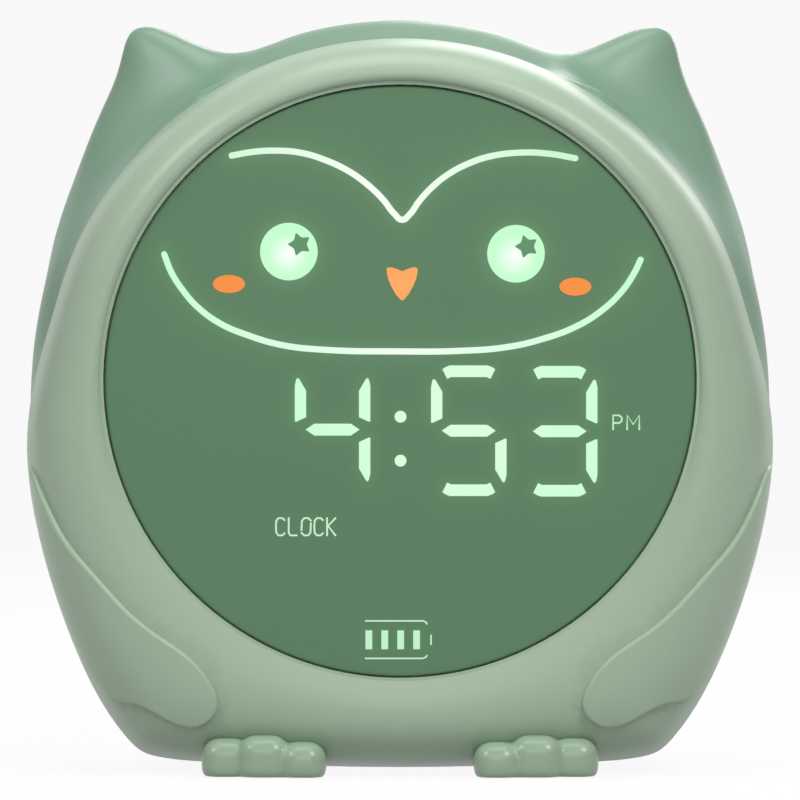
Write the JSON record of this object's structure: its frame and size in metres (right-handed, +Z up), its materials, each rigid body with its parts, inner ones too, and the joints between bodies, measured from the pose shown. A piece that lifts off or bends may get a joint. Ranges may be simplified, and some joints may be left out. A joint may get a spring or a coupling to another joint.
{
  "type": "alarm clock",
  "caption": "Owl-shaped kids alarm clock and night light with a round lit display, ears, wings, feet and rear buttons.",
  "frame": {"origin": "bottom centre of the whole clock, on the surface it stands on", "axes": "+Z up, -Y towards the viewer of the face, +X to the viewer's right"},
  "size_m": [0.1404, 0.08, 0.1423],
  "materials": {
    "front_plastic": "satin moulded, light sage",
    "rear_plastic": "satin moulded, blue sage",
    "foot_plastic": "gloss moulded, light sage",
    "button_plastic": "satin moulded",
    "lens_acrylic": "tinted acrylic, satin",
    "mask_film": "printed film",
    "milky_plastic": "milky",
    "white_plastic": "moulded white",
    "circuit_board": "solder mask",
    "led_package": "moulded",
    "screw_steel": "zinc plated",
    "flex_film": "laminated",
    "black_plastic": "moulded black",
    "socket_steel": "nickel plated",
    "cone_paper": "pulp cone",
    "magnet_steel": "ferrite and steel",
    "gasket_foam": "closed-cell foam",
    "cell_wrap": "shrink wrap",
    "contact_nickel": "nickel strip",
    "pad_rubber": "soft rubber"
  },
  "bodies": {
    "case": {"base_pads": "pad_rubber", "battery_cell": "cell_wrap", "battery_contacts": "contact_nickel", "battery_holder": "black_plastic", "battery_screws": "screw_steel", "board_screws": "screw_steel", "case_screws": "screw_steel", "diffuser_sheet": "milky_plastic", "display_board": "circuit_board", "display_leds": "led_package", "display_lens": "lens_acrylic", "display_screws": "screw_steel", "face_mask": "mask_film", "flex_cable": "flex_film", "foot_left": "foot_plastic", "foot_right": "foot_plastic", "foot_screws": "screw_steel", "front_shell": "front_plastic", "light_box": "white_plastic", "main_board": "circuit_board", "rear_shell": "rear_plastic", "speaker_cone": "cone_paper", "speaker_frame": "black_plastic", "speaker_gasket": "gasket_foam", "speaker_magnet": "magnet_steel", "speaker_screws": "screw_steel", "switch_body": "black_plastic", "tact_switches": "black_plastic", "usb_socket": "socket_steel"},
    "button_down": {"button_down": "button_plastic"},
    "button_light": {"button_light": "button_plastic"},
    "button_mode": {"button_mode": "button_plastic"},
    "button_set": {"button_set": "button_plastic"},
    "button_sound": {"button_sound": "button_plastic"},
    "button_up": {"button_up": "button_plastic"},
    "switch_knob": {"switch_knob": "button_plastic"}
  },
  "joints": [
    {"name": "button_down_press", "type": "slide", "parent": "case", "child": "button_down", "axis": [0, -1, 0], "range_m": [0, 0.0008], "stiffness_N_per_m": 1500, "springref_m": -0.0003},
    {"name": "button_light_press", "type": "slide", "parent": "case", "child": "button_light", "axis": [0, -1, 0], "range_m": [0, 0.0008], "stiffness_N_per_m": 1500, "springref_m": -0.0003},
    {"name": "button_mode_press", "type": "slide", "parent": "case", "child": "button_mode", "axis": [0, -1, 0], "range_m": [0, 0.0008], "stiffness_N_per_m": 1500, "springref_m": -0.0003},
    {"name": "button_set_press", "type": "slide", "parent": "case", "child": "button_set", "axis": [0, -1, 0], "range_m": [0, 0.0008], "stiffness_N_per_m": 1500, "springref_m": -0.0003},
    {"name": "button_sound_press", "type": "slide", "parent": "case", "child": "button_sound", "axis": [0, -1, 0], "range_m": [0, 0.0008], "stiffness_N_per_m": 1500, "springref_m": -0.0003},
    {"name": "button_up_press", "type": "slide", "parent": "case", "child": "button_up", "axis": [0, -1, 0], "range_m": [0, 0.0008], "stiffness_N_per_m": 1500, "springref_m": -0.0003},
    {"name": "switch_slide", "type": "slide", "parent": "case", "child": "switch_knob", "axis": [1, 0, 0], "range_m": [0, 0.003]}
  ]
}
